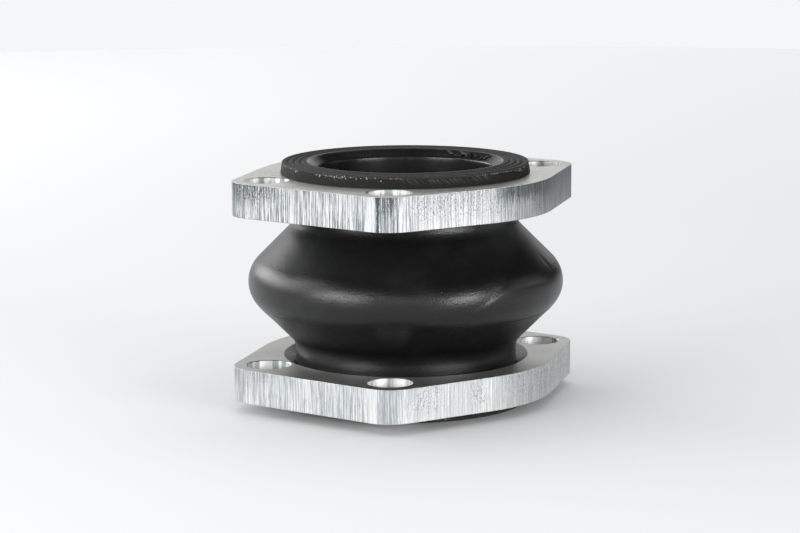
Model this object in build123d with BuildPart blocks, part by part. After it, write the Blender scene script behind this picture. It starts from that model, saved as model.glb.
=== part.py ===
from build123d import *
import os
from math import cos, radians, sin

os.makedirs("parts", exist_ok=True)

# Rubber expansion joint with one arch and two loose rectangular flanges.
# Millimetres. +Z runs up the bore, +X along the flanges, and the origin is the centre of the lower sealing face.

# Driving dimensions of the whole joint
face_to_face = 100.0
throat_radius = 37.0
mouth_chamfer = 3.3

# The rubber wall, from the outside in: cover, cord plies, liner
cover_thickness = 3.0
ply_thickness = 3.0
liner_thickness = 3.0
arch_radius = 65.7
arch_round = 13.6
root_round = 8.0
flank_angle = 45.0

# Heights above mid-height at which the wall is divided into rings that bend one after another
root_start = 34.0
root_end = 20.0
crown_edge = 9.5

# The sealing collar at each end
collar_height = 4.8
collar_face_radius = 51.2
collar_back_radius = 51.8
collar_edge_chamfer = 0.4
seal_face_thickness = 1.2
collar_ply_thickness = 1.0
bead_wire_radius = 1.4
bead_corner = 2.5
collar_corner = 3.0
groove_count = 3
groove_first_radius = 43.3
groove_pitch = 2.65
groove_width = 1.5
groove_depth = 0.7

# The loose flanges
flange_thickness = 14.0
flange_seat_gap = 0.1
flange_bore_clearance = 0.6
flange_waist_radius = 62.0
flange_corner_radius = 14.1
flange_edge_break = 0.5
bead_recess = 3.2
neck_chamfer = 4.5
bolt_spacing_x = 106.4
bolt_spacing_y = 61.9
bolt_hole_radius = 9.0
bolt_hole_break = 0.5

# Worked out from the driving dimensions
mid_height = face_to_face / 2
wall_thickness = cover_thickness + ply_thickness + liner_thickness
neck_radius = throat_radius + wall_thickness
collar_back = mid_height - collar_height
collar_ply_top = mid_height - seal_face_thickness
collar_ply_back = collar_ply_top - collar_ply_thickness
flange_face = collar_back - flange_seat_gap
flange_back = flange_face - flange_thickness
flange_bore_radius = neck_radius + flange_bore_clearance
layers = {
    "cover": (0.0, cover_thickness),
    "plies": (cover_thickness, cover_thickness + ply_thickness),
    "liner": (cover_thickness + ply_thickness, wall_thickness),
}

# Sections are drawn as (radius, distance from mid-height). The lower end is the upper one turned over.
section_planes = {
    "upper": Plane(origin=(0, 0, mid_height), x_dir=(1, 0, 0), z_dir=(0, -1, 0)),
    "lower": Plane(origin=(0, 0, mid_height), x_dir=(1, 0, 0), z_dir=(0, 1, 0)),
}


def wall_envelope(depth):
    """The area from the axis out to the surface that lies depth under the outside of the rubber wall."""
    turn = radians(flank_angle)
    crown = arch_round - depth
    root = root_round + depth
    neck = neck_radius - depth
    crown_centre = arch_radius - arch_round
    root_centre = neck_radius + root_round
    rise = arch_round + root_round - (root_centre - crown_centre) * cos(turn)
    root_height = rise / sin(turn)
    crown_tangent = (crown_centre + crown * cos(turn), crown * sin(turn))
    root_tangent = (root_centre - root * cos(turn), root_height - root * sin(turn))
    with BuildSketch() as area:
        with BuildLine():
            CenterArc((crown_centre, 0), crown, 0, flank_angle)
            Line(crown_tangent, root_tangent)
            CenterArc((root_centre, root_height), root, 180 + flank_angle, -flank_angle)
            Polyline((neck, root_height), (neck, mid_height), (0, mid_height), (0, 0))
            Line((0, 0), (crown_centre + crown, 0))
        make_face()
        mirror(about=Plane.XZ)
    return area.sketch


def neck_radii(layer):
    """The inner and outer radius of one wall layer where it runs straight through the flange."""
    outer_depth, inner_depth = layers[layer]
    return neck_radius - inner_depth, neck_radius - outer_depth


def collar_outside(height):
    """The collar's outer radius at a distance from mid-height: it flares a little towards the flange."""
    share = (mid_height - height) / collar_height
    return collar_face_radius + share * (collar_back_radius - collar_face_radius)


def save(piece, node):
    """Labels a finished sub-part and writes it as the STEP file of that node."""
    piece.label = node
    export_step(piece, f"parts/{node}.step")


def wall_ring(node, layer, low, high):
    """One layer of the arch between two heights above mid-height."""
    outer_depth, inner_depth = layers[layer]
    with BuildPart() as ring:
        with BuildSketch(section_planes["upper"]):
            add(wall_envelope(outer_depth))
            add(wall_envelope(inner_depth), mode=Mode.SUBTRACT)
            with Locations((arch_radius, (low + high) / 2)):
                Rectangle(2 * arch_radius, high - low, mode=Mode.INTERSECT)
        revolve(axis=Axis.Z)
    save(ring.part, node)


def collar(end):
    """The outer rubber of one end: the neck through the flange and the back of the sealing collar."""
    inner, outer = neck_radii("cover")
    with BuildPart() as back:
        with BuildSketch(section_planes[end]):
            with BuildLine():
                Polyline(
                    (inner, root_start),
                    (outer, root_start),
                    (outer, collar_back - collar_corner),
                    (outer + collar_corner, collar_back),
                    (collar_back_radius, collar_back),
                    (collar_outside(collar_ply_back), collar_ply_back),
                    (inner + bead_corner, collar_ply_back),
                    (inner, collar_ply_back - bead_corner),
                    close=True,
                )
            make_face()
            with Locations((inner + bead_corner / 2, collar_ply_back - bead_corner / 2)):
                Circle(bead_wire_radius, mode=Mode.SUBTRACT)
        revolve(axis=Axis.Z)
    save(back.part, f"{end}_collar")


def collar_plies(end):
    """The cord plies of one end, which turn out round the bead ring and end at the collar's edge."""
    inner, outer = neck_radii("plies")
    turn_out = inner + bead_corner
    with BuildPart() as cords:
        with BuildSketch(section_planes[end]):
            with BuildLine():
                Polyline(
                    (inner, root_start),
                    (outer, root_start),
                    (outer, collar_ply_back - bead_corner),
                    (outer + bead_corner, collar_ply_back),
                    (collar_outside(collar_ply_back), collar_ply_back),
                    (collar_outside(collar_ply_top), collar_ply_top),
                    (turn_out, collar_ply_top),
                    (inner, collar_ply_top - bead_corner),
                    close=True,
                )
            make_face()
            with Locations((outer + bead_corner / 2, collar_ply_back - bead_corner / 2)):
                Circle(bead_wire_radius, mode=Mode.SUBTRACT)
        revolve(axis=Axis.Z)
    save(cords.part, f"{end}_collar_plies")


def bead_ring(end):
    """The steel wire hoop that keeps one collar from pulling through its flange."""
    ring_radius = neck_radii("plies")[1] + bead_corner / 2
    with BuildPart() as hoop:
        with BuildSketch(section_planes[end]):
            with Locations((ring_radius, collar_ply_back - bead_corner / 2)):
                Circle(bead_wire_radius)
        revolve(axis=Axis.Z)
    save(hoop.part, f"{end}_bead_ring")


def seal_face(end):
    """The inner rubber of one end: the throat, its flared mouth and the grooved sealing face."""
    inner, outer = neck_radii("liner")
    with BuildPart() as face:
        with BuildSketch(section_planes[end]):
            with BuildLine():
                Polyline(
                    (inner, root_start),
                    (inner, mid_height - mouth_chamfer),
                    (inner + mouth_chamfer, mid_height),
                    (collar_face_radius - collar_edge_chamfer, mid_height),
                    (collar_face_radius, mid_height - collar_edge_chamfer),
                    (collar_outside(collar_ply_top), collar_ply_top),
                    (outer + bead_corner, collar_ply_top),
                    (outer, collar_ply_top - bead_corner),
                    (outer, root_start),
                    close=True,
                )
            make_face()
            for groove in range(groove_count):
                groove_radius = groove_first_radius + groove * groove_pitch
                with BuildLine():
                    Polyline(
                        (groove_radius - groove_width / 2, mid_height),
                        (groove_radius, mid_height - groove_depth),
                        (groove_radius + groove_width / 2, mid_height),
                        close=True,
                    )
                make_face(mode=Mode.SUBTRACT)
        revolve(axis=Axis.Z)
    save(face.part, f"{end}_seal_face")


def flange(end):
    """One loose flange: its outline is the hull of a round waist and four corners about the bolt holes."""
    outward = 1 if end == "upper" else -1
    outer_face = mid_height + outward * flange_face
    inner_face = mid_height + outward * flange_back
    with BuildPart() as plate:
        with BuildSketch(Plane.XY.offset(min(outer_face, inner_face))):
            Circle(flange_waist_radius)
            with GridLocations(bolt_spacing_x, bolt_spacing_y, 2, 2):
                Circle(flange_corner_radius)
            make_hull()
        extrude(amount=flange_thickness)
        rims = plate.edges().group_by(Axis.Z)
        chamfer(rims[0] + rims[-1], flange_edge_break)
        Hole(flange_bore_radius)
        bores = plate.edges().filter_by(GeomType.CIRCLE).filter_by(
            lambda edge: abs(edge.radius - flange_bore_radius) < flange_bore_clearance
        )
        chamfer(bores.sort_by_distance((0, 0, outer_face))[0], bead_recess)
        chamfer(bores.sort_by_distance((0, 0, inner_face))[0], neck_chamfer)
        with GridLocations(bolt_spacing_x, bolt_spacing_y, 2, 2):
            Hole(bolt_hole_radius)
        bolt_edges = plate.edges().filter_by(GeomType.CIRCLE).filter_by(
            lambda edge: abs(edge.radius - bolt_hole_radius) < bolt_hole_break
        )
        chamfer(bolt_edges, bolt_hole_break)
    save(plate.part, f"{end}_flange")


for end in ("lower", "upper"):
    flange(end)
    collar(end)
    collar_plies(end)
    bead_ring(end)
    seal_face(end)

rings = {
    "lower_root": (-root_start, -root_end),
    "lower_flank": (-root_end, -crown_edge),
    "crown": (-crown_edge, crown_edge),
    "upper_flank": (crown_edge, root_end),
    "upper_root": (root_end, root_start),
}
for ring_name, (low, high) in rings.items():
    for layer in layers:
        wall_ring(f"{ring_name}_{layer}", layer, low, high)
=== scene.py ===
import random
from math import acos, atan2, cos, degrees, exp, hypot, pi, radians, sin, sqrt, tan

import bmesh
import bpy
from mathutils import Euler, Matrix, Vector


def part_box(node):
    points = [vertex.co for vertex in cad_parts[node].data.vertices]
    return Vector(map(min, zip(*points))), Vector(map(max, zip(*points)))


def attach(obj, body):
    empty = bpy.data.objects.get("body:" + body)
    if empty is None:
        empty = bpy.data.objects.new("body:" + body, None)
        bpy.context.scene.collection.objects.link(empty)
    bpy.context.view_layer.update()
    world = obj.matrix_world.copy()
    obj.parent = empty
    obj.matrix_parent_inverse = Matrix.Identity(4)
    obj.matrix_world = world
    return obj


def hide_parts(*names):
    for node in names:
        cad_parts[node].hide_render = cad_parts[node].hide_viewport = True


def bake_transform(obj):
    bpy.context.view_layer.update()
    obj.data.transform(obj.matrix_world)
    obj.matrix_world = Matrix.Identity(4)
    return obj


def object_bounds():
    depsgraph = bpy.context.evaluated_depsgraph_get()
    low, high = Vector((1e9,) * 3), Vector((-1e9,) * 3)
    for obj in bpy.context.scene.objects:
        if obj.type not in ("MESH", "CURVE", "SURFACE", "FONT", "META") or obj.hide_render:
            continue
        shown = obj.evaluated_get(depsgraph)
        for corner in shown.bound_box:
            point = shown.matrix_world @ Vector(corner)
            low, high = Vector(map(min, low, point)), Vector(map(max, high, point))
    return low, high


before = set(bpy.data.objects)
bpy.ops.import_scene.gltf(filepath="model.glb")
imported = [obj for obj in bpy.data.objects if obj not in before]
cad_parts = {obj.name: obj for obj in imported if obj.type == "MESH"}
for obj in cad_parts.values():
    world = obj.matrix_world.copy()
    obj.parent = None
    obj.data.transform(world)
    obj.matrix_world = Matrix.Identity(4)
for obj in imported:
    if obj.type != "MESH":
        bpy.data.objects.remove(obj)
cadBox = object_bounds()
mm = 0.001
midHeight = (cadBox[0].z + cadBox[1].z) / 2
halfHeight = (cadBox[1].z - cadBox[0].z) / 2
print("frame loaded:", len(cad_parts), "nodes")


# camera, light and floor

shot = {
    "lens": 121.7,
    "azimuth": -53.98,  # where the camera stands, about the middle of the joint
    "elevation": 9.867,
    "distance": 1.1285,
    "heading": -53.86,  # where it looks
    "pitch": -9.602,
    "roll": -0.225,
}


def aroundMiddle(azimuth, elevation, distance):
    turn, lift = radians(azimuth), radians(elevation)
    away = Vector((sin(turn) * cos(lift), -cos(turn) * cos(lift), sin(lift)))
    return Vector((0, 0, midHeight)) + away * distance


camera = bpy.data.objects.new("camera", bpy.data.cameras.new("camera"))
camera.data.lens = shot["lens"]
camera.location = aroundMiddle(shot["azimuth"], shot["elevation"], shot["distance"])
facing = Euler((0, 0, radians(shot["heading"]))).to_matrix()
tipped = Euler((radians(90 + shot["pitch"]), 0, 0)).to_matrix()
rolled = Euler((0, 0, radians(shot["roll"]))).to_matrix()
camera.rotation_euler = (facing @ tipped @ rolled).to_euler()
bpy.context.scene.collection.objects.link(camera)
bpy.context.scene.camera = camera

studio = {
    "worldColor": (0.93, 0.94, 0.95, 1),
    "worldStrength": 0.98,
    # the floor is painted lighter away from the joint: painted light where the lamps fall off
    "floorNear": (0.524, 0.527, 0.535, 1),
    "floorFarPaintedLight": (0.640, 0.643, 0.651, 1),
    "floorPaintedLightFades": (0.3, 1.7),  # distances from the bore
    "floorRadius": 1.7,
    "floorSides": 96,
    # azimuth from the camera's own, elevation, distance, width, height, brightness
    "lamps": {
        "frontLeftBox": (-49, 14, 1.4, 0.86, 0.42, 13.0),
        "frontBox": (-4, 11, 1.5, 0.8, 0.30, 3.4),
        "leftBox": (-86, 33, 1.4, 0.7, 0.44, 3.6),
        "backLeftBox": (-118, 17, 1.5, 1.35, 0.40, 6.9),
        "frontRightBox": (45, 10, 1.4, 0.78, 0.33, 17.0),
        "rightBox": (100, 15, 1.6, 1.0, 0.8, 0.8),
        "backWall": (-168, 15, 2.2, 3.4, 1.1, 0.94),
        "topBox": (180, 62, 1.5, 1.4, 1.0, 1.1),
    },
}


def softBox(name, azimuth, elevation, distance, width, height, brightness):
    lamp = bpy.data.lights.new(name, "AREA")
    lamp.shape = "RECTANGLE"
    lamp.size, lamp.size_y = width, height
    lamp.energy = brightness * pi * width * height
    stand = bpy.data.objects.new(name, lamp)
    stand.location = aroundMiddle(shot["azimuth"] + azimuth, elevation, distance)
    towards = Vector((0, 0, midHeight)) - stand.location
    stand.rotation_euler = towards.to_track_quat("-Z", "Y").to_euler()
    stand.visible_camera = False
    bpy.context.scene.collection.objects.link(stand)


for lampName, settings in studio["lamps"].items():
    softBox(lampName, *settings)

world = bpy.data.worlds.new("studio")
world.use_nodes = True
world.node_tree.nodes["Background"].inputs["Color"].default_value = studio["worldColor"]
world.node_tree.nodes["Background"].inputs["Strength"].default_value = studio["worldStrength"]
world.cycles_visibility.glossy = False
bpy.context.scene.world = world
bpy.context.scene.view_settings.view_transform = "Standard"


# shader expressions

class Wire:
    # one output socket of a material; what is worked out from it becomes nodes
    def __init__(self, tree, socket=None):
        self.tree, self.socket = tree, socket

    def node(self, kind, settings=None, sockets=None, out=0):
        made = self.tree.nodes.new(kind)
        for key, value in (settings or {}).items():
            setattr(made, key, value)
        for key, value in (sockets or {}).items():
            if isinstance(value, Wire):
                self.tree.links.new(value.socket, made.inputs[key])
            else:
                made.inputs[key].default_value = value
        return Wire(self.tree, made.outputs[out])

    def maths(self, operation, *values):
        return self.node("ShaderNodeMath", {"operation": operation}, dict(enumerate(values)))

    def __add__(self, other):
        return self.maths("ADD", self, other)

    def __sub__(self, other):
        return self.maths("SUBTRACT", self, other)

    def __rsub__(self, other):
        return self.maths("SUBTRACT", other, self)

    def __mul__(self, other):
        return self.maths("MULTIPLY", self, other)

    def __truediv__(self, other):
        return self.maths("DIVIDE", self, other)

    def __pow__(self, other):
        return self.maths("POWER", self, other)

    __radd__ = __add__
    __rmul__ = __mul__

    def size(self):
        return self.maths("ABSOLUTE", self)

    def least(self, other):
        return self.maths("MINIMUM", self, other)

    def most(self, other):
        return self.maths("MAXIMUM", self, other)

    def rise(self, low, high):
        # 0 below low, 1 above high, and smooth between them; high may be the lower one
        low, high, falls = (low, high, False) if low < high else (high, low, True)
        sockets = {"Value": self, "From Min": low, "From Max": high}
        sockets.update({"To Min": float(falls), "To Max": float(not falls)})
        return self.node("ShaderNodeMapRange", {"interpolation_type": "SMOOTHSTEP"}, sockets)

    def parts(self):
        split = self.node("ShaderNodeSeparateXYZ", None, {0: self}).socket.node
        return [Wire(self.tree, split.outputs[axis]) for axis in "XYZ"]

    def noise(self, scale, detail=2.0, rough=0.5):
        sockets = {"Vector": self, "Scale": scale, "Detail": detail, "Roughness": rough}
        return self.node("ShaderNodeTexNoise", None, sockets)

    def blend(self, first, second):
        # this value as the factor between two colours
        sockets = {0: self, 6: first, 7: second}
        return self.node("ShaderNodeMix", {"data_type": "RGBA"}, sockets, out=2)

    def stretch(self, factors):
        return self.node("ShaderNodeVectorMath", {"operation": "MULTIPLY"}, {0: self, 1: factors})

    def shift(self, offset):
        return self.node("ShaderNodeVectorMath", {"operation": "ADD"}, {0: self, 1: offset})

    def bump(self, distance, strength=1.0):
        sockets = {"Height": self, "Strength": strength, "Distance": distance}
        return self.node("ShaderNodeBump", None, sockets)


def newMaterial(name):
    material = bpy.data.materials.new(name)
    material.use_nodes = True
    tree = material.node_tree
    place = Wire(tree).node("ShaderNodeTexCoord", out=3)  # Object
    return material, tree.nodes["Principled BSDF"], place


def plug(shader, **inputs):
    for key, value in inputs.items():
        socket = shader.inputs[key.replace("_", " ")]
        if isinstance(value, Wire):
            shader.id_data.links.new(value.socket, socket)
        else:
            socket.default_value = value


def paint(piece, material):
    piece.data.materials.clear()
    piece.data.materials.append(material)


# turning a closed outline about the bore

def deselectAll():
    if bpy.context.mode != "OBJECT":
        bpy.ops.object.mode_set(mode="OBJECT")
    bpy.ops.object.select_all(action="DESELECT")


def closedLoop(name, points):
    # drawn out point by point from one corner, and left open in edit mode
    deselectAll()
    bpy.ops.mesh.primitive_plane_add(size=mm, location=points[0])
    piece = bpy.context.object
    piece.name = piece.data.name = name
    bpy.ops.object.transform_apply(location=True, rotation=False, scale=False)
    bpy.ops.object.mode_set(mode="EDIT")
    bpy.ops.mesh.merge(type="CENTER")
    for here, there in zip(points, points[1:]):
        step = Vector(there) - Vector(here)
        bpy.ops.mesh.extrude_vertices_move(TRANSFORM_OT_translate={"value": step})
    mesh = bmesh.from_edit_mesh(piece.data)
    mesh.verts.ensure_lookup_table()
    for vert in mesh.verts:
        vert.select = vert.index in (0, len(mesh.verts) - 1)
    mesh.select_flush_mode()
    bpy.ops.mesh.edge_face_add()
    bpy.ops.mesh.select_all(action="SELECT")
    return piece


def turned(name, outline, steps, sharp=40):
    piece = closedLoop(name, [(radius, 0, height) for radius, height in outline])
    bpy.ops.mesh.spin(steps=steps, angle=2 * pi, center=(0, 0, 0), axis=(0, 0, 1))
    bpy.ops.mesh.select_all(action="SELECT")
    bpy.ops.mesh.remove_doubles(threshold=0.002 * mm)
    bpy.ops.mesh.normals_make_consistent(inside=False)
    bpy.ops.object.mode_set(mode="OBJECT")
    bpy.ops.object.shade_smooth_by_angle(angle=radians(sharp))
    return piece


# zinc-plated flanges

flanges = {
    "boltX": 53.2 * mm,
    "boltY": 30.95 * mm,
    "holeRadius": 9.0 * mm,
    "holeBreak": 0.3 * mm,
    "boreRadius": 46.6 * mm,
    "archChamfer": 4.5 * mm,  # clears the rubber on the arch side
    "beadChamfer": 3.2 * mm,  # seats the bead on the collar side
    "spacing": 1.2 * mm,  # of points along the outline, each gap then cut into four
    "cuts": 3,
    "rows": 6,
    "boreSteps": 192,
    "holeSteps": 72,
    "rimBreak": 0.2 * mm,
    "cutterReach": 1.0 * mm,
    "margin": 1.0 * mm,  # left smooth round the holes and the bore
    "smoothBelow": 32,
    "sawDepth": 0.12 * mm,
    "sawPitch": 0.55 * mm,
    "sawStretch": 60,
    "faceColor": (0.76, 0.76, 0.73, 1),
    "faceStain": (0.50, 0.51, 0.48, 1),
    # painted shade for the face towards the arch
    "faceArchShade": (0.14, 0.145, 0.14, 1),
    "sawnDark": (0.055, 0.07, 0.08, 1),
    "slate": (0.135, 0.152, 0.158, 1),
    # painted light and painted reflection for the bolt holes' walls
    "holePaintedLight": (0.95, 0.95, 0.94, 1),
    "holePaintedReflection": (0.30, 0.34, 0.33, 1),
    # the sawn edge's zinc, lighter on the lower flange and darker on the upper as painted light and shade,
    # its grime, its stains and painted reflection, the painted shade on the face towards the arch, its
    # ridges' shift
    "sawn": {
        "upper": {
            "bright": (0.60, 0.605, 0.60, 1),
            "dull": (0.185, 0.21, 0.225, 1),
            "grime": 1.0,
            "stain": 1.0,
            "archShade": 0.9,
            "shift": (0, 0, 0),
        },
        "lower": {
            "bright": (0.69, 0.70, 0.695, 1),
            "dull": (0.37, 0.40, 0.415, 1),
            "grime": 0.35,
            "stain": 0.0,
            "archShade": 0.32,
            "shift": (0.2, 0.1, 0),
        },
    },
    "scales": {  # of the noises, higher is finer
        "fine": 3300,
        "lines": 2300,
        "broken": 2800,
        "flecks": 3000,
        "patches": 45,
        "grain": 900,
        "cloud": 60,
        "reflectionBands": 330,
    },
    # x or y along the edge at which each of these begins and at which it is full
    "fleckedSide": (-42 * mm, -46 * mm),
    "cleanFrom": (-28.5 * mm, -30.5 * mm),
    "cleanTo": (-34.6 * mm, -33.6 * mm),
    "cleanSide": (0, -mm),
    "cutStart": (0, 26 * mm),
    "stainAndReflectionSide": (-20 * mm, -30 * mm),
    "slateTop": (-24 * mm, -12 * mm),
    # where the painted reflection over the right end begins and where it is full
    "slateEndReflection": (-4 * mm, 14 * mm),
    "burnt": (48 * mm, 4 * mm),
    "runAt": (-66.7 * mm, -35.1 * mm),  # a run of dirt down the edge
    "runWidth": (0.75 * mm, 0.35 * mm),
    "smearAt": (-64.3 * mm, -39.4 * mm),
    "smearWidth": (3.6 * mm, 2.4 * mm),
}


def farFrom(x, y, point):
    return ((x - point[0]) ** 2 + (y - point[1]) ** 2) ** 0.5


def sawnEdge(place, depth, look):
    # saw marks run straight up and down; depth is 0 at the upper rim and 1 at the lower one
    f, scales = flanges, flanges["scales"]
    x, y, _ = place.parts()
    marks = place.stretch((1, 1, 0.02))
    dashes = place.stretch((1, 1, 0.09)).shift((0.3, 0.1, 0))
    fine = marks.noise(scales["fine"], 1)
    lines = marks.shift((0.7, 0.2, 0)).noise(scales["lines"], 1)
    broken = dashes.noise(scales["broken"], 2, 0.6)
    flecks = place.stretch((1, 1, 0.4)).noise(scales["flecks"], 2, 0.7)
    patches = place.stretch((1, 1, 0.3)).noise(scales["patches"])

    # bare zinc: fewer lines and more flecks on the long side, and one clean strip
    grey = (fine * 0.42 + lines * 0.33 + broken * 0.25 + (patches - 0.5) * 0.15).rise(0.56, 0.44)
    flecked = y.rise(*f["fleckedSide"])
    # the zinc and saw-line tones are lighter on the lower flange and darker on the upper, as painted light
    # and shade
    sawn = (grey * (1 - flecked * 0.45)).blend(look["bright"], look["dull"])
    specks = flecks.rise(0.54, 0.60) * (0.2 + flecked * 0.65) * patches.rise(0.36, 0.52)
    sawn = (specks * depth.rise(0.95, 0.6)).blend(sawn, f["slate"])
    clean = y.rise(*f["cleanFrom"]) * y.rise(*f["cleanTo"]) * x.rise(*f["cleanSide"]) * 0.6
    sawn = clean.blend(sawn, look["bright"])

    # dark grime, most of it where the cut began
    scratches = (broken * 0.6 + fine * 0.4).rise(0.42, 0.36) * (1 - flecked * 0.7)
    started = 0.25 + y.rise(*f["cutStart"]) * 0.75
    dark = depth + (0.5 - broken) * 1.5 - (patches - 0.5) * 1.2 - started * 0.25
    dark = dark.rise(0.32, 0.02) * (fine * 0.5 + flecks * 0.5).rise(0.58, 0.46)
    dark = (dark * started).most(scratches * 0.55) * look["grime"]

    # slate-grey stains along the top, and slate grey over the right end of the long side as painted
    # reflection, mottled by the saw lines
    stainedAndReflecting = y.rise(*f["stainAndReflectionSide"]) * look["stain"]
    slateTop = x.rise(*f["slateTop"]) * (depth + (0.5 - broken) * 1.2).rise(0.55, 0.2)
    # painted reflection: slate grey over the right end of the long side
    slateEndReflection = x.rise(*f["slateEndReflection"]) * (0.95 - depth * 0.5 + (0.5 - lines) * 1.6)
    slate = (slateTop * 0.8).most(slateEndReflection).least(0.95).most(0) * stainedAndReflecting
    sawn = slate.blend(sawn, f["slate"])

    # a run of dirt, a smear beside it, and burnt marks above the stain
    wavers = (flecks - 0.5) * 1.6 * mm - (0.3 - depth).most(0) * 2 * mm
    run = (farFrom(x, y, f["runAt"]) + wavers).rise(*f["runWidth"])
    smear = farFrom(x, y, f["smearAt"]).rise(*f["smearWidth"])
    smear = smear * (depth + (0.5 - broken) * 1.6).rise(0.55, 0.3)
    smear = smear * (lines * 0.5 + flecks * 0.5).rise(0.56, 0.48)
    dirt = run.most(smear * 0.85) * look["stain"]
    burnt = slateTop * x.rise(*f["burnt"]) * (fine * 0.5 + flecks * 0.5).rise(0.58, 0.47)
    dirt = dirt.most(burnt * stainedAndReflecting * 0.8)
    sawn = dark.most(dirt).blend(sawn, f["sawnDark"])
    return sawn, fine * 0.6 + lines * 0.5 + flecks * 0.5, dark


def zincPlating(name, low, high, look):
    f, scales = flanges, flanges["scales"]
    archSide = low if low > midHeight else high
    material, shader, place = newMaterial(name)
    x, y, z = place.parts()
    onTop = z.rise(high - f["rimBreak"], high - f["rimBreak"] / 3)
    onBottom = z.rise(low + f["rimBreak"], low + f["rimBreak"] / 3)
    onFace = onTop.most(onBottom)
    fromHole = farFrom(x.size(), y.size(), (f["boltX"], f["boltY"]))
    inHole = fromHole.rise(f["holeRadius"] + 0.35 * mm, f["holeRadius"] + 0.2 * mm)
    # painted shade and painted reflection of the dark rubber, laid on the face towards the arch
    archShaded = (z - archSide).size().rise(0.4 * mm, 0.1 * mm) * look["archShade"]

    sawn, ridges, dark = sawnEdge(place, (high - z) / (high - low), look)
    grain = place.noise(scales["grain"], 4, 0.7)
    cloud = place.noise(scales["cloud"], 3, 0.6)
    face = (grain * 0.6 + cloud * 0.5).rise(0.5, 0.75).blend(f["faceColor"], f["faceStain"])
    face = archShaded.blend(face, f["faceArchShade"])
    # the bolt holes' walls: painted light, near white, striped with painted reflections in dark vertical
    # bands
    reflectionBands = place.stretch((1, 1, 0.12)).noise(scales["reflectionBands"])
    hole = reflectionBands.rise(0.42, 0.68).blend(f["holePaintedLight"], f["holePaintedReflection"])
    color = inHole.blend(onFace.blend(sawn, face), hole)

    height = ridges * (1 - onFace) * (1 - inHole) + grain * 0.25
    rough = 0.34 + (1 - onFace) * 0.10 + grain * 0.1 - inHole * 0.04 + dark * 0.1
    plug(shader, Base_Color=color, Metallic=1.0, Roughness=rough, Normal=height.bump(0.16 * mm, 0.8))
    return material


def arc(centre, radius, first, last, count):
    turns = [radians(first + (last - first) * i / count) for i in range(count + 1)]
    return [(centre[0] + radius * cos(turn), centre[1] + radius * sin(turn)) for turn in turns]


def between(here, there):
    # the points of a straight run, without its ends
    run = there - here
    count = round(run.length / flanges["spacing"])
    return [here + run * i / count for i in range(1, count)]


def plateOutline(waist, corner):
    # corner arcs about the bolt holes and waist arcs about the bore, joined by straight runs
    f = flanges
    across, up = f["boltX"], f["boltY"]
    meets = degrees(atan2(up, across) + acos((waist - corner) / hypot(across, up)))
    arcs = [
        ((across, up), corner, 0, meets),
        ((0, 0), waist, meets, 180 - meets),
        ((-across, up), corner, 180 - meets, 180),
        ((-across, -up), corner, 180, 180 + meets),
        ((0, 0), waist, 180 + meets, 360 - meets),
        ((across, -up), corner, 360 - meets, 360),
    ]
    outline = []
    for centre, radius, first, last in arcs:
        count = max(2, round(radius * radians(last - first) / f["spacing"]))
        points = [Vector(point) for point in arc(centre, radius, first, last, count)]
        if outline:
            outline += between(outline[-1], points[0])
        outline += points
    return outline + between(outline[-1], outline[0])


def cutAway(piece, cutter):
    deselectAll()
    piece.select_set(True)
    bpy.context.view_layer.objects.active = piece
    cut = piece.modifiers.new("cut", "BOOLEAN")
    cut.operation, cut.solver, cut.object = "DIFFERENCE", "EXACT", cutter
    bpy.ops.object.modifier_apply(modifier=cut.name)
    bpy.data.objects.remove(cutter)


def holeCutter(name, radius, low, high, lowChamfer, highChamfer, steps):
    reach = flanges["cutterReach"]
    outline = [
        (0, low - reach),
        (radius + lowChamfer + reach, low - reach),
        (radius, low + lowChamfer),
        (radius, high - highChamfer),
        (radius + highChamfer + reach, high + reach),
        (0, high + reach),
    ]
    return turned(name, outline, steps)


def sawnPlate():
    # the upper flange, arch side down, before its edge is sawn rough
    f = flanges
    (_, _, low), (right, back, high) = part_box("upper_flange")
    outline = plateOutline(back, right - f["boltX"])
    plate = closedLoop("upperFlange", [(x, y, low) for x, y in outline])
    bpy.ops.mesh.subdivide(number_cuts=f["cuts"])
    bpy.ops.mesh.edge_face_add()
    rise = (0, 0, (high - low) / f["rows"])
    for _ in range(f["rows"]):
        bpy.ops.mesh.extrude_region_move(TRANSFORM_OT_translate={"value": rise})
    bpy.ops.mesh.select_all(action="SELECT")
    bpy.ops.mesh.normals_make_consistent(inside=False)
    mesh = bmesh.from_edit_mesh(plate.data)
    for edge in mesh.edges:
        rim = [min(abs(vert.co.z - low), abs(vert.co.z - high)) < 0.01 * mm for vert in edge.verts]
        edge.select = all(rim) and edge.calc_face_angle(0) > 1
    bpy.ops.mesh.bevel(offset=f["rimBreak"], segments=2, affect="EDGES")
    bpy.ops.object.mode_set(mode="OBJECT")
    bore = holeCutter("bore", f["boreRadius"], low, high, f["archChamfer"], f["beadChamfer"], f["boreSteps"])
    cutAway(plate, bore)
    for sideX in (-1, 1):
        for sideY in (-1, 1):
            rim = f["holeBreak"]
            hole = holeCutter("hole", f["holeRadius"], low, high, rim, rim, f["holeSteps"])
            hole.location = (sideX * f["boltX"], sideY * f["boltY"], 0)
            cutAway(plate, hole)
    return plate


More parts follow.
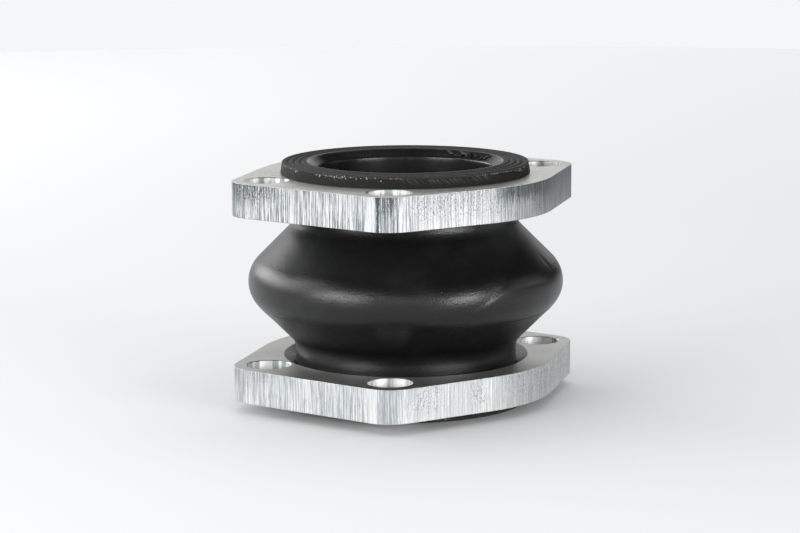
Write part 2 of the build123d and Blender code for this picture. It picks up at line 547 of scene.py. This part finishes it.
def roughenEdge(plate, shift):
    # the saw leaves ridges that run straight across the plate's edge
    f = flanges
    edge = plate.vertex_groups.new(name="sawn")
    for vert in plate.data.vertices:
        x, y = abs(vert.co.x), abs(vert.co.y)
        nearHole = hypot(x - f["boltX"], y - f["boltY"]) < f["holeRadius"] + f["margin"]
        if hypot(x, y) > f["boreRadius"] + f["archChamfer"] + f["margin"] and not nearHole:
            edge.add([vert.index], 1.0, "REPLACE")
    grain = bpy.data.textures.new("sawRidges", "CLOUDS")
    grain.noise_scale, grain.noise_depth = f["sawPitch"], 2
    guide = bpy.data.objects.new("sawGuide", None)
    guide.location = shift
    guide.scale = (1, 1, f["sawStretch"])
    bpy.context.scene.collection.objects.link(guide)
    bpy.context.view_layer.update()
    deselectAll()
    plate.select_set(True)
    bpy.context.view_layer.objects.active = plate
    ridges = plate.modifiers.new("ridges", "DISPLACE")
    ridges.texture, ridges.texture_coords, ridges.texture_coords_object = grain, "OBJECT", guide
    ridges.vertex_group, ridges.mid_level, ridges.strength = edge.name, 1.0, f["sawDepth"]
    bpy.ops.object.modifier_apply(modifier=ridges.name)
    bpy.ops.object.shade_smooth_by_angle(angle=radians(f["smoothBelow"]))
    bpy.data.objects.remove(guide)


upperPlate = sawnPlate()
lowerPlate = upperPlate.copy()
lowerPlate.data = upperPlate.data.copy()
lowerPlate.name = lowerPlate.data.name = "lowerFlange"
bpy.context.scene.collection.objects.link(lowerPlate)
deselectAll()
lowerPlate.select_set(True)
bpy.context.view_layer.objects.active = lowerPlate
bpy.ops.object.mode_set(mode="EDIT")
bpy.ops.mesh.select_all(action="SELECT")
bpy.ops.transform.mirror(constraint_axis=(False, False, True), center_override=(0, 0, midHeight))
bpy.ops.mesh.normals_make_consistent(inside=False)
bpy.ops.object.mode_set(mode="OBJECT")
for end, plate in (("upper", upperPlate), ("lower", lowerPlate)):
    sawnLook = flanges["sawn"][end]
    roughenEdge(plate, sawnLook["shift"])
    low, high = (corner.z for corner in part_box(f"{end}_flange"))
    paint(plate, zincPlating(f"{end}Zinc", low, high, sawnLook))
    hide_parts(f"{end}_flange")
    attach(plate, f"{end}_flange")
    print(plate.name, "sawn:", len(plate.data.polygons), "faces")


# rubber

rubber = {
    "coverColor": (0.0035, 0.0035, 0.0037, 1),
    "coverBloom": (0.0095, 0.0098, 0.010, 1),
    "cutColor": (0.0075, 0.0072, 0.0068, 1),
    "cutLight": (0.060, 0.057, 0.053, 1),
    "faceLight": (0.030, 0.029, 0.028, 1),
    "faceColor": (0.0075, 0.0075, 0.0075, 1),
    "linerColor": (0.005, 0.005, 0.0055, 1),
    "cordColor": (0.52, 0.46, 0.36, 1),
    "cordDirty": (0.12, 0.09, 0.06, 1),
    "wireColor": (0.5, 0.51, 0.52, 1),
    "wireDark": (0.34, 0.33, 0.31, 1),
    "scales": {  # of the noises, higher is finer
        "coverSkin": 1300,
        "coverCloud": 55,
        "bands": 500,
        "strokes": 2000,
        "trimmed": 60,
        "cutSkin": 1700,
        "linerSkin": 2200,
        "linerCloud": 70,
        "rounds": 2600,
        "cordSkin": 2400,
        "cordEnds": 1500,
        "frayed": 42,
        "lay": 1400,
        "twist": 2600,
        "filmSkin": 700,
    },
    "relief": {
        "cover": 0.24 * mm,
        "cut": 0.2 * mm,
        "liner": 0.1 * mm,
        "cords": 0.12 * mm,
        "bareCord": 0.1 * mm,
        "film": 0.1 * mm,
    },
    "cordRadius": 50.0 * mm,  # outside this the cut ends of the cords show
    "lipRadius": 41.0 * mm,
    "wallStart": 45.0 * mm,  # height from the middle at which the trimmed wall begins
    "strokeRise": (1.2 * mm, 3.4 * mm),  # heights over that between which the knife's strokes begin
    "knifeLean": 19.0,
    # where the strokes show best: a stretch of the wall in front, and a short one beside it
    "strokesX": ((-44 * mm, -40 * mm), (-7 * mm, -13 * mm)),
    "strokesY": (0, -5 * mm),
    "besideX": (-50.1 * mm, -50.5 * mm),
    "besideY": (3 * mm, -2 * mm),
    # where the trimmed cords are frayed
    "frayedX": (-48.5 * mm, -50 * mm),
    "frayedY": ((8 * mm, 4 * mm), (-14 * mm, -8 * mm)),
}


scales, relief = rubber["scales"], rubber["relief"]


def coverRubber():
    material, shader, place = newMaterial("coverRubber")
    skin = place.noise(scales["coverSkin"], 2, 0.7)
    cloud = place.noise(scales["coverCloud"], 3, 0.6)
    bands = place.stretch((0.25, 0.25, 1)).noise(scales["bands"])
    bloom = cloud.rise(0.5, 0.8) * 0.6
    plug(shader, Base_Color=bloom.blend(rubber["coverColor"], rubber["coverBloom"]))
    plug(shader, Roughness=0.20 + cloud * 0.14 + skin * 0.10, Specular_IOR_Level=0.42)
    plug(shader, Normal=(skin * 0.5 + bands * 0.2).bump(relief["cover"]))
    return material


def cutRubber():
    # the collar's wall, trimmed with a knife whose strokes lean over
    r = rubber
    material, shader, place = newMaterial("cutRubber")
    x, y, z = place.parts()
    height = (z - midHeight).size() - r["wallStart"]
    lean = height * r["knifeLean"]
    leaning = place.node("ShaderNodeCombineXYZ", None, {0: x - y * lean, 1: y + x * lean, 2: height * 0.08})
    strokes = leaning.noise(scales["strokes"], 2, 0.55)
    inFront = x.rise(*r["strokesX"][0]) * x.rise(*r["strokesX"][1]) * y.rise(*r["strokesY"])
    beside = x.rise(*r["besideX"]) * y.rise(*r["besideY"])
    where = place.noise(scales["trimmed"]).rise(0.50, 0.58).most(inFront).most(beside)
    skin = place.noise(scales["cutSkin"], 4, 0.75)
    cut = strokes.rise(0.50, 0.62) * where * height.rise(*r["strokeRise"])
    light = (skin.rise(0.48, 0.80) * 0.4 + cut * 0.75).least(1)
    plug(shader, Base_Color=light.blend(r["cutColor"], r["cutLight"]))
    plug(shader, Roughness=0.50 + skin * 0.2, Specular_IOR_Level=0.12)
    plug(shader, Normal=(skin * 0.6 + strokes * where * 1.4).bump(relief["cut"]))
    return material


def linerRubber():
    # smooth in the throat and on the lip, dull and turned on the sealing face
    r = rubber
    material, shader, place = newMaterial("linerRubber")
    x, y, _ = place.parts()
    skin = place.noise(scales["linerSkin"], 3, 0.6)
    cloud = place.noise(scales["linerCloud"], 3, 0.6)
    radius = farFrom(x, y, (0, 0))
    onFace = radius.rise(r["lipRadius"] - 0.4 * mm, r["lipRadius"])
    smooth = cloud.rise(0.4, 0.9).blend(r["linerColor"], r["coverBloom"])
    rounds = place.node("ShaderNodeCombineXYZ", None, {0: radius}).noise(scales["rounds"], 2, 0.6)
    dull = (skin * 0.7 + rounds * 0.3).rise(0.42, 0.7).blend(r["faceColor"], r["faceLight"])
    plug(shader, Base_Color=onFace.blend(smooth, dull))
    plug(shader, Roughness=0.20 + cloud * 0.14 + onFace * 0.38, Specular_IOR_Level=0.36)
    plug(shader, Normal=(skin * (0.35 + onFace * 0.65) + rounds * onFace * 0.35).bump(relief["liner"], 0.8))
    return material


def cordRubber():
    r = rubber
    material, shader, place = newMaterial("cordRubber")
    x, y, _ = place.parts()
    skin = place.noise(scales["cordSkin"], 3, 0.7)
    ends = place.stretch((1, 1, 1.4)).noise(scales["cordEnds"], 1)
    worst = x.rise(*r["frayedX"]) * y.rise(*r["frayedY"][0]) * y.rise(*r["frayedY"][1])
    frayed = place.noise(scales["frayed"]).rise(0.46, 0.64).most(worst)
    outside = farFrom(x, y, (0, 0)).rise(r["cordRadius"], r["cordRadius"] + 0.3 * mm)
    gummed = skin.rise(0.5, 0.8).blend(r["cutColor"], r["cutLight"])
    shown = ends.rise(0.56, 0.62) * frayed * outside
    plug(shader, Base_Color=shown.blend(gummed, r["cordColor"]))
    plug(shader, Roughness=0.8, Normal=(skin * 0.5 + ends).bump(relief["cords"], 0.8))
    return material


def drawnWire():
    material, shader, place = newMaterial("drawnWire")
    lay = place.stretch((1, 1, 3)).noise(scales["lay"])
    plug(shader, Base_Color=lay.blend(rubber["wireColor"], rubber["wireDark"]))
    plug(shader, Metallic=1.0, Roughness=0.3 + lay * 0.2)
    return material


def bareCord():
    material, shader, place = newMaterial("bareCord")
    twist = place.noise(scales["twist"], 2, 0.6)
    plug(shader, Base_Color=twist.rise(0.35, 0.6).blend(rubber["cordDirty"], rubber["cordColor"]))
    plug(shader, Roughness=0.9, Normal=twist.bump(relief["bareCord"], 0.8))
    return material


def thinFilm():
    material, shader, place = newMaterial("thinFilm")
    skin = place.noise(scales["filmSkin"], 3, 0.6)
    plug(shader, Base_Color=skin.rise(0.4, 0.7).blend(rubber["linerColor"], rubber["faceLight"]))
    plug(shader, Roughness=0.08 + skin * 0.12, Normal=skin.bump(relief["film"], 0.6))
    return material


finishes = {
    "cover": coverRubber(),
    "plies": cordRubber(),
    "liner": linerRubber(),
    "cut": cutRubber(),
    "wire": drawnWire(),
    "cordEnds": bareCord(),
    "film": thinFilm(),
}


# the arch: five rings of three layers

arch = {
    "throatRadius": 37.0 * mm,
    "layer": 3.0 * mm,
    "crownRound": 13.6 * mm,
    "rootRound": 8.0 * mm,
    "flankAngle": 45,
    "shrink": 0.15 * mm,  # keeps the wobble inside the moulding's real outline
    "rowStep": {"cover": 0.4 * mm, "plies": 1.0 * mm, "liner": 0.7 * mm},
    "endRow": 0.05 * mm,
    "overlap": 0.16 * mm,  # the cover strip laid over the lower flank ends in a low step
    "overlapTop": -10.1 * mm,
    "overlapFades": 4.5 * mm,
    "overlapEdge": 0.08 * mm,
    # turns about the bore and heights of both ends, width on the left and on the right, depth
    "dents": (
        (-102, 3.9 * mm, -84, 4.3 * mm, 0.9 * mm, 0.9 * mm, 0.45 * mm),
        (-116.5, -1.2 * mm, -105, 6.4 * mm, 0.7 * mm, 9.0 * mm, 0.42 * mm),
        (-73, 12.5 * mm, -74, 7.5 * mm, 1.2 * mm, 1.2 * mm, 0.30 * mm),
        (48, 6.0 * mm, 66, 4.6 * mm, 1.0 * mm, 2.5 * mm, 0.30 * mm),
    ),
    "wobble": 0.7 * mm,
    "wobbleScale": 24 * mm,
    "wobbleFades": (30 * mm, 20 * mm),
    "coverSteps": 320,
    "innerSteps": 160,
}
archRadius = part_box("crown_cover")[1].x - arch["shrink"]
neckRadius = arch["throatRadius"] + 3 * arch["layer"]
layers = {"cover": "cover_rubber", "plies": "cord_plies", "liner": "liner_rubber"}  # from the outside in
rings = {  # each with the body below it and the body above it
    "lower_root": ("lower_end", "lower_root"),
    "lower_flank": ("lower_root", "lower_flank"),
    "crown": ("lower_flank", "crown"),
    "upper_flank": ("crown", "upper_flank"),
    "upper_root": ("upper_flank", "upper_end"),
}


def wallRadius(depth, height):
    # radius of the surface that lies depth under the outside, at a height from the middle
    crown, root, neck = arch["crownRound"] - depth, arch["rootRound"] + depth, neckRadius - depth
    turn = radians(arch["flankAngle"])
    crownCentre, rootCentre = archRadius - arch["crownRound"], neckRadius + arch["rootRound"]
    both = arch["crownRound"] + arch["rootRound"]
    rootHeight = (both - (rootCentre - crownCentre) * cos(turn)) / sin(turn)
    height = abs(height)
    if height < crown * sin(turn):
        return crownCentre + sqrt(crown ** 2 - height ** 2)
    if height < rootHeight - root * sin(turn):
        return crownCentre + crown * cos(turn) - (height - crown * sin(turn)) / tan(turn)
    if height < rootHeight:
        return rootCentre - sqrt(root ** 2 - (rootHeight - height) ** 2)
    return neck


def heights(low, high, step):
    # evenly spaced, with a short first and last gap, so that shading meets the next ring's
    short = arch["endRow"]
    count = max(2, round((high - low) / step))
    inner = [low + short + (high - low - 2 * short) * i / count for i in range(count + 1)]
    return [low, *inner, high]


def overlapStep(height):
    share = (height - arch["overlapTop"]) / -arch["overlapFades"]
    return arch["overlap"] * (1 - share) if 0 <= share < 1 else 0


def pressDents(piece):
    # creases left in the cover where it was wrapped
    for vert in piece.data.vertices:
        x, y, height = vert.co.x, vert.co.y, vert.co.z - midHeight
        radius, turn = hypot(x, y), degrees(atan2(y, x))
        if radius < wallRadius(mm, height):  # the inner side
            continue
        for turnA, heightA, turnB, heightB, left, right, deep in arch["dents"]:
            along = Vector((radians(turnB - turnA) * radius, heightB - heightA))
            here = Vector((radians(turn - turnA) * radius, height - heightA))
            share = min(1, max(0, here.dot(along) / along.length_squared))
            away = (here - along * share).length
            width = left if along.cross(here) < 0 else right
            deeper = deep * exp(-((away / width) ** 2)) * (0.35 + 0.65 * sin(pi * share))
            vert.co.x -= deeper * x / radius
            vert.co.y -= deeper * y / radius


def wobble(piece):
    # the moulding is a little uneven; the same shift at a place moves every layer there
    loose = piece.vertex_groups.new(name="loose")
    still, free = arch["wobbleFades"]
    for vert in piece.data.vertices:
        share = (still - abs(vert.co.z - midHeight)) / (still - free)
        loose.add([vert.index], min(1, max(0, share)), "REPLACE")
    hills = bpy.data.textures.new("hills", "CLOUDS")
    hills.noise_scale, hills.noise_depth = arch["wobbleScale"], 1
    deselectAll()
    piece.select_set(True)
    bpy.context.view_layer.objects.active = piece
    for direction in "XY":
        shift = piece.modifiers.new("shift", "DISPLACE")
        shift.texture, shift.texture_coords, shift.direction = hills, "LOCAL", direction
        shift.vertex_group, shift.strength = loose.name, arch["wobble"]
        bpy.ops.object.modifier_apply(modifier=shift.name)


def wallRing(ring, layer):
    low, high = (corner.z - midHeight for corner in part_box(f"{ring}_{layer}"))
    outer = list(layers).index(layer) * arch["layer"]
    rows = heights(low, high, arch["rowStep"][layer])
    inside = [(wallRadius(outer + arch["layer"], h), midHeight + h) for h in reversed(rows)]
    steps = arch["innerSteps"]
    if layer == "cover":
        steps, edge = arch["coverSteps"], arch["overlapTop"]
        if low < edge < high:
            kept = [h for h in rows if abs(h - edge) > 0.1 * mm]
            rows = sorted(kept + [edge, edge + arch["overlapEdge"]])
        outside = [(wallRadius(outer, h) + overlapStep(h), midHeight + h) for h in rows]
    else:
        outside = [(wallRadius(outer, h), midHeight + h) for h in rows]
    first, *others = ring.split("_")
    name = first + "".join(word.capitalize() for word in others) + layer.capitalize()
    piece = turned(name, outside + inside, steps)
    if layer == "cover":
        pressDents(piece)
    wobble(piece)
    paint(piece, finishes[layer])
    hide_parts(f"{ring}_{layer}")
    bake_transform(piece)


for ring in rings:
    for layer in layers:
        wallRing(ring, layer)
print("arch built")


# the collar at each end

collar = {
    "steps": 384,
    "back": 45.2 * mm,  # heights from the middle
    "faceRadius": 51.15 * mm,
    "backRadius": 51.75 * mm,
    "coverTop": 48.8 * mm,
    "cordTop": 49.2 * mm,
    "cordInset": 0.3 * mm,
    "corner": 0.3 * mm,
    "wallRows": 10,
    "edgeRound": 0.55 * mm,
    "bead": 2.5 * mm,
    "backCorner": 3.0 * mm,
    "mouth": 3.3 * mm,
    "mouthRound": 0.5 * mm,
    "hollow": 0.12 * mm,
    "grooves": (43.3 * mm, 45.95 * mm, 48.6 * mm),
    "grooveWidth": 1.7 * mm,
    "grooveDepth": 0.7 * mm,
    # one side of a groove from its edge to its bottom, in halves of the width and in depths
    "grooveSide": ((1, 0), (0.86, 0.06), (0.7, 0.22), (0.12, 0.94)),
}
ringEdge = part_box("upper_root_cover")[1].z - midHeight


def atEnd(end, outline):
    sign = 1 if end == "upper" else -1
    return [(radius, midHeight + sign * height) for radius, height in outline]


def collarBack(end):
    c = collar
    inner, outer = neckRadius - arch["layer"], neckRadius
    flare, rise = c["faceRadius"] - c["backRadius"], c["coverTop"] - c["back"]
    shares = [i / c["wallRows"] for i in range(1, c["wallRows"])]
    outline = [
        (inner, ringEdge),
        (outer, ringEdge),
        (outer, c["back"] - c["backCorner"]),
        (outer + c["backCorner"], c["back"]),
        (c["backRadius"] - c["corner"], c["back"]),
        (c["backRadius"] - 0.05 * mm, c["back"] + 0.12 * mm),
        *[(c["backRadius"] + flare * share, c["back"] + rise * share) for share in shares],
        (c["faceRadius"] - 0.05 * mm, c["coverTop"] - 0.05 * mm),
        (c["faceRadius"] - c["corner"], c["coverTop"]),
        (inner + c["bead"], c["coverTop"]),
        (inner, c["coverTop"] - c["bead"]),
    ]
    return turned(f"{end}CollarBack", atEnd(end, outline), c["steps"])


def collarCords(end):
    c = collar
    inner, outer = neckRadius - 2 * arch["layer"], neckRadius - arch["layer"]
    edge = c["faceRadius"] - c["cordInset"]
    outline = [
        (inner, ringEdge),
        (outer, ringEdge),
        (outer, c["coverTop"] - c["bead"]),
        (outer + c["bead"], c["coverTop"]),
        (edge, c["coverTop"]),
        (edge, (c["coverTop"] + c["cordTop"]) / 2),
        (edge, c["cordTop"]),
        (inner + c["bead"], c["cordTop"]),
        (inner, c["cordTop"] - c["bead"]),
    ]
    return turned(f"{end}CollarCords", atEnd(end, outline), c["steps"])


def grooveSection(radius):
    half, deep, side = collar["grooveWidth"] / 2, collar["grooveDepth"], collar["grooveSide"]
    section = [(-u, v) for u, v in side] + [(0, 1)] + list(reversed(side))
    return [(radius + u * half, halfHeight - v * deep) for u, v in section]


def sealingFace(end):
    c = collar
    inner, outer = arch["throatRadius"], arch["throatRadius"] + arch["layer"]
    soft, mouth = c["mouthRound"], c["mouth"]
    lipLow, lipRadius = halfHeight - mouth, inner + mouth
    outline = [(inner, ringEdge + (lipLow - soft - ringEdge) * i / 8) for i in range(9)]
    outline.append((inner + 0.12 * soft, lipLow - 0.2 * soft))
    outline.append((inner + 0.5 * soft, lipLow + 0.42 * soft))
    for share in (0.3, 0.5, 0.7, 0.85):  # the flare, a little hollow
        outline.append((inner + mouth * share, lipLow + mouth * share - c["hollow"] * sin(pi * share)))
    outline.append((lipRadius - 0.15 * soft, halfHeight - 0.28 * soft))
    outline.append((lipRadius + 0.35 * soft, halfHeight - 0.05 * soft))
    outline.append((lipRadius + soft, halfHeight))
    for radius in c["grooves"]:
        outline += grooveSection(radius)
    rim = (c["faceRadius"] - c["edgeRound"], halfHeight - c["edgeRound"])
    outline += arc(rim, c["edgeRound"], 90, 0, 6)
    outline += [
        (c["faceRadius"] - 0.04 * mm, c["cordTop"] + 0.06 * mm),
        (c["faceRadius"] - 0.2 * mm, c["cordTop"]),
        (outer + c["bead"], c["cordTop"]),
        (outer, c["cordTop"] - c["bead"]),
        (outer, ringEdge),
    ]
    return turned(f"{end}SealingFace", atEnd(end, outline), c["steps"])


trim = {
    "seed": 7,
    "cordRadius": 0.2 * mm,
    "cordSizes": (0.6, 1.15),
    "cordLength": 0.9 * mm,
    "cordLean": 0.4,
    "cordReach": 50.95 * mm,
    "cordReaches": (-0.2, 0.06),
    "cordHeight": 49.0 * mm,
    "cordHeights": (-0.9, 0.35),
    # first and last turn about the bore, number of cord ends that stick out there
    "frayed": ((-189, -169, 14), (-169, -148, 6), (-83, -70, 10), (20, 160, 24), (-60, 15, 8)),
    "seamTurns": (35.8, 215.8),
    "seamWidth": 0.55 * mm,
    "seamProud": 0.22 * mm,
    "seamRoot": 0.3 * mm,
    "filmTurns": (-30, 10),
    "filmColumns": 60,
    "filmRows": 5,
    "filmThickness": 0.12 * mm,
    "filmCrumple": 0.55 * mm,
    "filmWaves": 7,
    "filmLift": 0.08 * mm,
    "filmClear": 0.2 * mm,  # below the sealing face
}


def cordEnds(end):
    # loose ends of the cut cords along the trimmed edge
    t = trim
    chance = random.Random(t["seed"])
    deselectAll()
    for start, stop, count in t["frayed"]:
        for _ in range(count):
            turn = radians(chance.uniform(start, stop))
            height = t["cordHeight"] + chance.uniform(*t["cordHeights"]) * mm
            radius = t["cordReach"] + chance.uniform(*t["cordReaches"]) * mm
            bpy.ops.mesh.primitive_cylinder_add(
                vertices=6,
                radius=t["cordRadius"] * chance.uniform(*t["cordSizes"]),
                depth=t["cordLength"],
                location=(radius * cos(turn), radius * sin(turn), atEnd(end, [(radius, height)])[0][1]),
                rotation=(
                    0,
                    pi / 2 + chance.uniform(-t["cordLean"], t["cordLean"]),
                    turn + chance.uniform(-t["cordLean"], t["cordLean"]),
                ),
            )
            if bpy.context.mode == "OBJECT":  # after the first, which the others join
                bpy.ops.object.transform_apply(location=True, rotation=True, scale=False)
                bpy.ops.object.mode_set(mode="EDIT")
    bpy.ops.object.mode_set(mode="OBJECT")
    ends = bpy.context.object
    ends.name = ends.data.name = f"{end}CordEnds"
    return ends


def mouldSeams(end):
    # thin ribs down the throat where the mould's halves met
    half, inner = trim["seamWidth"] / 2, arch["throatRadius"]
    low, high = ringEdge + 0.2 * mm, halfHeight - collar["mouth"] - 0.1 * mm
    (_, start), (_, stop) = atEnd(end, [(0, low), (0, high)])
    section = [(inner + trim["seamRoot"], -half), (inner, -half), (inner - trim["seamProud"], -half / 3)]
    section += [(radius, -across) for radius, across in reversed(section)]
    ribs = []
    for seamTurn in trim["seamTurns"]:
        turn = radians(seamTurn)
        points = [(r * cos(turn) - w * sin(turn), r * sin(turn) + w * cos(turn), start) for r, w in section]
        rib = closedLoop(f"{end}MouldSeams", points)
        bpy.ops.mesh.edge_face_add()
        bpy.ops.mesh.extrude_region_move(TRANSFORM_OT_translate={"value": (0, 0, stop - start)})
        bpy.ops.mesh.select_all(action="SELECT")
        bpy.ops.mesh.normals_make_consistent(inside=False)
        bpy.ops.object.mode_set(mode="OBJECT")
        ribs.append(rib)
    for rib in ribs:
        rib.select_set(True)
    bpy.context.view_layer.objects.active = ribs[0]
    bpy.ops.object.join()
    return ribs[0]


def lipFilm():
    # a crumpled film of flash left on the upper lip
    t = trim
    chance = random.Random(t["seed"])
    waves = [
        (chance.uniform(9, 34), chance.uniform(0, 6.3), chance.uniform(0.3, 1))
        for _ in range(t["filmWaves"])
    ]
    deselectAll()
    bpy.ops.mesh.primitive_grid_add(x_subdivisions=t["filmColumns"], y_subdivisions=t["filmRows"], size=1)
    film = bpy.context.object
    film.name = film.data.name = "lipFilm"
    start, stop = t["filmTurns"]
    for vert in film.data.vertices:
        u, v = vert.co.x + 0.5, vert.co.y + 0.5
        turn = radians(start + (stop - start) * u)
        crumple = sum(share * sin(speed * u + begin + 2.4 * v) for speed, begin, share in waves) / 3
        ends = min(1, 8 * u, 8 * (1 - u))
        lift = t["filmLift"] + t["filmCrumple"] * max(0, crumple) * v * ends
        edge = (0.75 + 0.25 * sin(17 * u) * sin(41 * u + 1)) * ends
        radius = arch["throatRadius"] + (2.9 - 2.4 * v * edge) * mm
        height = halfHeight - collar["mouth"] + radius - arch["throatRadius"]
        radius, height = radius - lift * 0.7, min(height + lift * 0.7, halfHeight - t["filmClear"])
        vert.co = (radius * cos(turn), radius * sin(turn), midHeight + height)
    bpy.ops.object.mode_set(mode="EDIT")
    bpy.ops.mesh.select_all(action="SELECT")
    bpy.ops.mesh.normals_make_consistent(inside=False)
    bpy.ops.object.mode_set(mode="OBJECT")
    wall = film.modifiers.new("wall", "SOLIDIFY")
    wall.thickness, wall.offset = t["filmThickness"], 0
    bpy.ops.object.modifier_apply(modifier=wall.name)
    bpy.ops.object.shade_smooth_by_angle(angle=radians(50))
    return film


for end in ("lower", "upper"):
    extras = [(cordEnds(end), "cordEnds", "cord_plies"), (mouldSeams(end), "liner", "liner_rubber")]
    if end == "upper":
        extras.append((lipFilm(), "film", "liner_rubber"))
    for piece, finish, slot in extras:
        paint(piece, finishes[finish])
        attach(piece, f"{end}_end")

for end in ("lower", "upper"):
    back, cords, face = collarBack(end), collarCords(end), sealingFace(end)
    for piece, node, finish, slot in (
        (back, "collar", "cut", "cover_rubber"),
        (cords, "collar_plies", "plies", "cord_plies"),
        (face, "seal_face", "liner", "liner_rubber"),
    ):
        paint(piece, finishes[finish])
        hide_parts(f"{end}_{node}")
        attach(piece, f"{end}_end")
    paint(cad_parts[f"{end}_bead_ring"], finishes["wire"])
print("collars built")


# floor

deselectAll()
bpy.ops.mesh.primitive_circle_add(
    vertices=studio["floorSides"],
    radius=studio["floorRadius"],
    fill_type="NGON",
    location=(0, 0, cadBox[0].z),
)
floor = bpy.context.object
floor.name = "floor"
floorMaterial, floorShader, floorPlace = newMaterial("floorPaper")
acrossFloor, alongFloor, _ = floorPlace.parts()
# painted light: the floor's colour grows lighter further from the joint
away = farFrom(acrossFloor, alongFloor, (0, 0)).rise(*studio["floorPaintedLightFades"])
plug(floorShader, Base_Color=away.blend(studio["floorNear"], studio["floorFarPaintedLight"]))
plug(floorShader, Roughness=0.9, Specular_IOR_Level=0.1)
paint(floor, floorMaterial)
print("floor laid")
